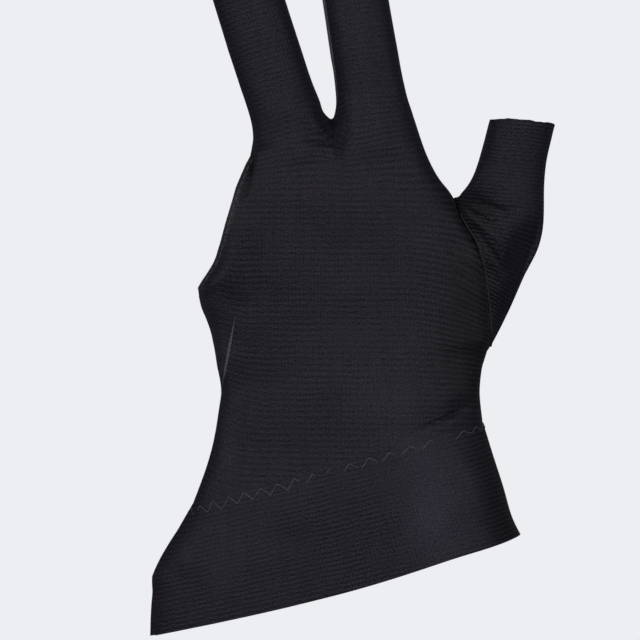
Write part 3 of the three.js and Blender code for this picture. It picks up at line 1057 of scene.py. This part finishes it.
@dataclass
class CuffZigzag:
    """The zigzag that holds the cuff's turned-up hem, all round the cuff.

    Periods and swings are millimetres at the places in across; heights over the cloth are radii.
    """

    cord: Cord = Cord("cuff_zigzag", "cuff_band", 0.17 * MM, ZIGZAG_THREAD)
    across: tuple[float, ...] = (-62.0, -24.0, 5.0, 28.0)
    periods: tuple[float, ...] = (4.0, 5.7, 6.6, 5.5)
    swings: tuple[float, ...] = (1.65, 1.45, 1.3, 0.8)
    beats: tuple[int, ...] = (0, 1, 0, -1)
    beat_heights: tuple[float, ...] = (-0.1, 0.0, -0.9, -1.2)
    proud_beyond: Pair = (-30.0, 23.0)
    sunk: tuple[Pair, ...] = ((-23.0, -16.0), (17.0, 23.0))
    drift: float = 0.08
    break_chance: float = 0.05
    hub: float = 2.0
    reach: float = 150 * MM
    rays: int = 1440
    corner: float = 0.14
    seed: int = 11

    def ring(self, cuff: Object) -> list[Vector]:
        """The stitch's middle line round the cuff, with a point at each beat.

        Args:
            cuff: The cuff.

        Returns:
            The points.
        """
        (left, left_up), (right, right_up) = CUFF_LINE
        slope = (right_up - left_up) / (right - left)
        middle = Vector((self.hub * MM, 0, (right_up - slope * (right - self.hub)) * MM))
        across = Vector((1, 0, slope)).normalized()
        found = []
        for ray in range(self.rays + 1):
            angle = math.pi + 2 * math.pi * ray / self.rays
            way = across * math.cos(angle) + Vector((0, 1, 0)) * math.sin(angle)
            hit, place, _, _ = cuff.ray_cast(middle + way * self.reach, -way)
            if hit:
                found.append(place)
        paced, gone = [found[0]], 0.0
        for before, place in zip(found, found[1:]):
            gone += (place - before).length / MM
            if gone >= self.along(place, self.periods) / len(self.beats):
                paced.append(place)
                gone = 0.0
        return paced

    def along(self, place: Vector, values: tuple[float, ...]) -> float:
        """Value at a place; the stitch is longer and flatter where the cuff is stretched."""
        return float(np.interp(place.x / MM, self.across, values))

    def build(self, cuff: Object) -> Object:
        """Sews the zigzag onto the cuff.

        Args:
            cuff: The cuff.

        Returns:
            The thread.
        """
        rng = random.Random(self.seed)
        middle = self.ring(cuff)
        lines, line = [], []
        for i, place in enumerate(middle[:-1]):
            along = (middle[i + 1] - place).normalized()
            _, _, outward, _ = cuff.closest_point_on_mesh(place)
            aside = outward.cross(along).normalized()
            beat = i % len(self.beats)
            swing = self.beats[beat] * self.along(place, self.swings) * rng.uniform(0.85, 1.15)
            drift = self.along(place, self.periods) * rng.uniform(-self.drift, self.drift)
            target = place + (aside * swing + along * drift) * MM
            _, near, outward, _ = cuff.closest_point_on_mesh(target)
            line.append(self.cord.laid((near, outward), self.stand(place.x / MM, beat, rng)))
            if rng.random() < self.break_chance and len(line) > 3:
                lines.append(self.rounded(line))
                line = []
        lines.append(self.rounded(line))
        return self.cord.build([entry for entry in lines if len(entry) > 2])

    def stand(self, across: float, beat: int, rng: random.Random) -> float:
        """How proud the thread stands at a point; below 0 it is pulled into the knit.

        Args:
            across: Millimetres across.
            beat: Quarter of its period.
            rng: Source of the unevenness.

        Returns:
            Radii over the cloth.
        """
        height, spread = self.beat_heights[beat], 0.3
        if across < self.proud_beyond[0] or across > self.proud_beyond[1]:
            height = 0.3
        elif any(low < across < high for low, high in self.sunk):
            height, spread = -0.8, 0.35
        return height + rng.uniform(-spread, spread)

    def rounded(self, line: list[Vector]) -> list[Vector]:
        """Softens a zigzag's turns by cutting each corner once."""
        if len(line) < 3:
            return line
        soft = [line[0]]
        for before, here, after in zip(line, line[1:], line[2:]):
            soft += [here.lerp(before, self.corner), here.lerp(after, self.corner)]
        return soft + [line[-1]]


@dataclass
class SeamLine:
    """A cord laid on the cloth along one line; it stands in radii, other lengths are millimetres."""

    cord: Cord
    steps: int
    stand: float

    def build(self, *cloth: Object) -> Object:
        """Lays the cord where its line meets the cloth.

        Args:
            *cloth: The pieces it runs over.

        Returns:
            The cord.
        """
        hits = [self.hit(cloth, step / self.steps) for step in range(self.steps + 1)]
        return self.cord.build([soften([self.cord.laid(hit, self.stand) for hit in hits if hit])])


@dataclass
class ThumbSeam(SeamLine):
    """The ridge where the thumb sleeve is sewn into the side of the hand part; its finish is paler than the
    knit, a painted highlight along the ridge.
    """

    cord: Cord = Cord("thumb_seam_ridge", "thumb_sleeve", 0.30 * MM, SEAM_EDGE_HIGHLIGHT, 2)
    steps: int = 60
    stand: float = 0.35
    low: float = 15.0
    high: float = 58.0
    inset: float = 0.7
    search: Triple = (18.0, 37.0, 0.12)

    def hit(self, cloth: Pieces, share: float) -> tuple | None:
        """Meets the sleeve just beside the line where it comes after the panel."""
        up = self.low + (self.high - self.low) * share
        seam = first_across(cloth, up, self.search, wanted=cloth[1])
        return None if seam is None else front_hit(cloth[1:], seam + self.inset, up)


@dataclass
class TensionRidge(SeamLine):
    """The taut pinched fold that runs down the little finger's side of the hand; its pale finish is a
    painted highlight on the fold's crest.
    """

    cord: Cord = Cord("tension_ridge", "back_panel", 0.45 * MM, TAUT_FOLD_HIGHLIGHT, 2, taper=0.4)
    steps: int = 30
    stand: float = 0.1
    start: Pair = (-48.0, 24.8)
    end: Pair = (-52.4, 2.2)

    def hit(self, cloth: Pieces, share: float) -> tuple | None:
        """Meets the cloth on the straight line between both ends."""
        across, up = (a + (b - a) * share for a, b in zip(self.start, self.end))
        return front_hit(cloth, across, up)


@dataclass
class IndexSeam(SeamLine):
    """The pressed-open seam on the middle finger's side of the index sleeve; its pale finish is a painted
    highlight along the seam's edge.
    """

    cord: Cord = Cord("index_side_seam", "back_panel", 0.68 * MM, PRESSED_SEAM_HIGHLIGHT, 2, taper=0.35)
    steps: int = 40
    stand: float = 0.1
    low: float = 94.0
    top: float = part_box("back_panel")[1].z / MM - 2.5
    inset: float = 0.45
    search: Pair = (15.0, 0.1)

    def hit(self, cloth: Pieces, share: float) -> tuple | None:
        """Meets the sleeve just inside its edge at the gap between the fingers."""
        up = self.low + (self.top - self.low) * share
        gap = CROTCH[0] - GAP_LEAN * (up - CROTCH[1])
        edge = first_across(cloth, up, (gap, gap + self.search[0], self.search[1]))
        return None if edge is None else front_hit(cloth, edge + self.inset, up)


@dataclass
class HemStitches:
    """Short stitches that hold the narrow hem of the side opening; lengths are millimetres."""

    cord: Cord = Cord("hem_stitches", "opening_hem", 0.15 * MM, HEM_THREAD)
    length: float = 1.5
    pitch: float = 2.5
    inset: float = 1.2
    low: float = 36.5
    high: float = 75.0
    stand: float = 0.4
    search: Triple = (-64.0, -36.0, 0.15)

    def build(self, hem: Object) -> Object:
        """Lays the stitches along the hem's runs on the back and on the palm."""
        lines = []
        for side in (-1.0, 1.0):
            up = self.low
            while up < self.high:
                ends = [self.place(hem, up + shift, side) for shift in (0, self.length / 2, self.length)]
                if all(ends):
                    lines.append(ends)
                up += self.pitch
        return self.cord.build(lines)

    def place(self, hem: Object, up: float, side: float) -> Vector | None:
        """A place on the hem a little in from its free edge.

        Args:
            hem: The hem.
            up: Millimetres up.
            side: -1 on the back of the hand, 1 on the palm.

        Returns:
            The place, or None.
        """
        edge = first_across((hem,), up, self.search, side)
        hit = None if edge is None else front_hit((hem,), edge + self.inset, up, side)
        return self.cord.laid(hit, self.stand) if hit else None


@dataclass
class Glove:
    """All the glove's pieces, made in order."""

    body_knit: KnitFinish = KnitFinish("body_knit")
    thumb_knit: KnitFinish = KnitFinish("thumb_knit", rib=1.25, contrast=1.1)
    cuff_knit: KnitFinish = KnitFinish("cuff_knit", rib=1.5, contrast=1.3)
    hem_knit: KnitFinish = KnitFinish("hem_knit", rib=1.1, contrast=0.5, light=(0.056, 0.050, 0.067))

    def build(self) -> None:
        pieces = (
            KnitPiece("back_panel", (0.096, 0.178), 0.0110, self.body_knit),
            KnitPiece("palm_panel", (0.096, 0.178), 0.0111, self.body_knit),
            KnitPiece("thumb_sleeve", (0.062, 0.072), 0.0033, self.thumb_knit, Weave.THUMB),
            KnitPiece("cuff_band", (0.245, 0.046), 0.0089, self.cuff_knit, Weave.CUFF),
            KnitPiece("opening_hem", (0.1, 0.01), 0.0004, self.hem_knit, narrow=True),
        )
        built = {}
        for piece in pieces:
            built[piece.node] = piece.build()
            LOG.info("%s: %d faces", piece.node, len(piece.obj.data.polygons))
        back = built["back_panel"]
        zigzag = CuffZigzag().build(built["cuff_band"])
        ridge = ThumbSeam().build(back, built["thumb_sleeve"])
        trims = {
            "back_panel": (IndexSeam().build(back), TensionRidge().build(back)),
            "cuff_band": (zigzag,),
            "thumb_sleeve": (ridge,),
            "opening_hem": (HemStitches().build(built["opening_hem"]),),
        }
        for piece in pieces:
            piece.declare(trims.get(piece.node, ()))
            LOG.info("%s declared", piece.node)


@dataclass(frozen=True)
class Lamp:
    """One soft square light, aimed at the hand's middle."""

    name: str
    place: Triple
    power: float
    shines: bool = True
    size: float = 0.6
    target: Triple = (0.0, 0.0, 0.03)

    def hang(self) -> None:
        """Adds the light, with or without a shine on the cloth."""
        lamp = bpy.data.lights.new(self.name, "AREA")
        lamp.size = self.size
        lamp.energy = self.power
        obj = new_object(self.name, lamp)
        obj.location = self.place
        way = Vector(self.target) - Vector(self.place)
        obj.rotation_euler = way.to_track_quat("-Z", "Y").to_euler()
        obj.visible_camera = False
        obj.visible_glossy = self.shines


LAMPS = (
    Lamp("key", (-1.25, -1.0, 0.4), 5.9),
    Lamp("fill", (1.25, -1.0, 0.4), 4.3),
    Lamp("front", (0.0, -1.5, 0.6), 5.8),
    Lamp("palm_key", (0.0, 1.5, 0.3), 15.0, shines=False, size=0.25),
)


@dataclass
class Studio:
    """Pale floor, pale backdrop, soft light and the camera at the photograph's angle; lengths are metres."""

    pale: Triple = (0.86, 0.875, 0.9)
    paper_dip: float = 0.97
    paper_grain: float = 900.0
    paper_glow: float = 0.9
    backdrop: tuple[float, ...] = (0.843, 0.853, 0.884, 1)
    air_light: tuple[float, ...] = (0.95, 0.97, 1.0, 1)
    floor_drop: float = 0.40
    floor_size: float = 6.0
    glow: float = 0.05
    far: float = 20.0

    def build(self) -> None:
        """Sets up the whole studio."""
        bpy.context.scene.view_settings.view_transform = "Standard"
        self.floor()
        self.air()
        for lamp in LAMPS:
            lamp.hang()
        self.camera()
        LOG.info("studio set")

    def floor(self) -> None:
        """Lays the pale floor."""
        g = Graph("pale_paper")
        place = g.add("ShaderNodeTexCoord", {}, {}, "Object")
        grain = g.noise(place, self.paper_grain, 2)
        low = tuple(value * self.paper_dip for value in self.pale)
        g.dress(
            Base_Color=(0.15, 0.15, 0.16, 1),
            Roughness=0.95,
            Specular_IOR_Level=0.1,
            Emission_Color=g.mix(grain, low, self.pale),
            Emission_Strength=self.paper_glow,
        )
        bpy.ops.object.select_all(action="DESELECT")
        bpy.ops.mesh.primitive_plane_add(size=self.floor_size, location=(0, 0, -self.floor_drop))
        sheet = bpy.context.active_object
        sheet.name = "floor"
        sheet.data.materials.append(g.material)
        sheet.visible_diffuse = False
        sheet.visible_glossy = False

    def air(self) -> None:
        """Surrounds the glove with pale paper that lights it only a little."""
        world = bpy.data.worlds.new("studio_air")
        world.use_nodes = True
        nodes, links = world.node_tree.nodes, world.node_tree.links
        paper = nodes["Background"]
        paper.inputs["Color"].default_value = self.backdrop
        glow = nodes.new("ShaderNodeBackground")
        glow.inputs["Color"].default_value = self.air_light
        glow.inputs["Strength"].default_value = self.glow
        path = nodes.new("ShaderNodeLightPath")
        choice = nodes.new("ShaderNodeMixShader")
        links.new(path.outputs["Is Camera Ray"], choice.inputs[0])
        links.new(glow.outputs[0], choice.inputs[1])
        links.new(paper.outputs[0], choice.inputs[2])
        links.new(choice.outputs[0], nodes["World Output"].inputs["Surface"])
        bpy.context.scene.world = world

    def camera(self) -> None:
        """Stands the camera square to the back of the hand."""
        data = bpy.data.cameras.new("camera")
        data.sensor_width = SENSOR
        data.lens = SENSOR * (CAMERA_DISTANCE / MM) / (FRAME_PX * MM_PER_PX)
        data.clip_end = self.far
        camera = new_object("camera", data)
        across = (FRAME_PX / 2 - WRIST_PX[0]) * MM_PER_PX * MM
        up = (WRIST_PX[1] - FRAME_PX / 2) * MM_PER_PX * MM
        camera.location = (across, -CAMERA_DISTANCE, up)
        camera.rotation_euler = (math.pi / 2, 0, 0)
        bpy.context.scene.camera = camera


def main() -> None:
    """Builds the glove and its studio."""
    logging.basicConfig(level=logging.INFO, format="%(name)s: %(message)s")
    Glove().build()
    Studio().build()


if __name__ == "__main__":
    main()
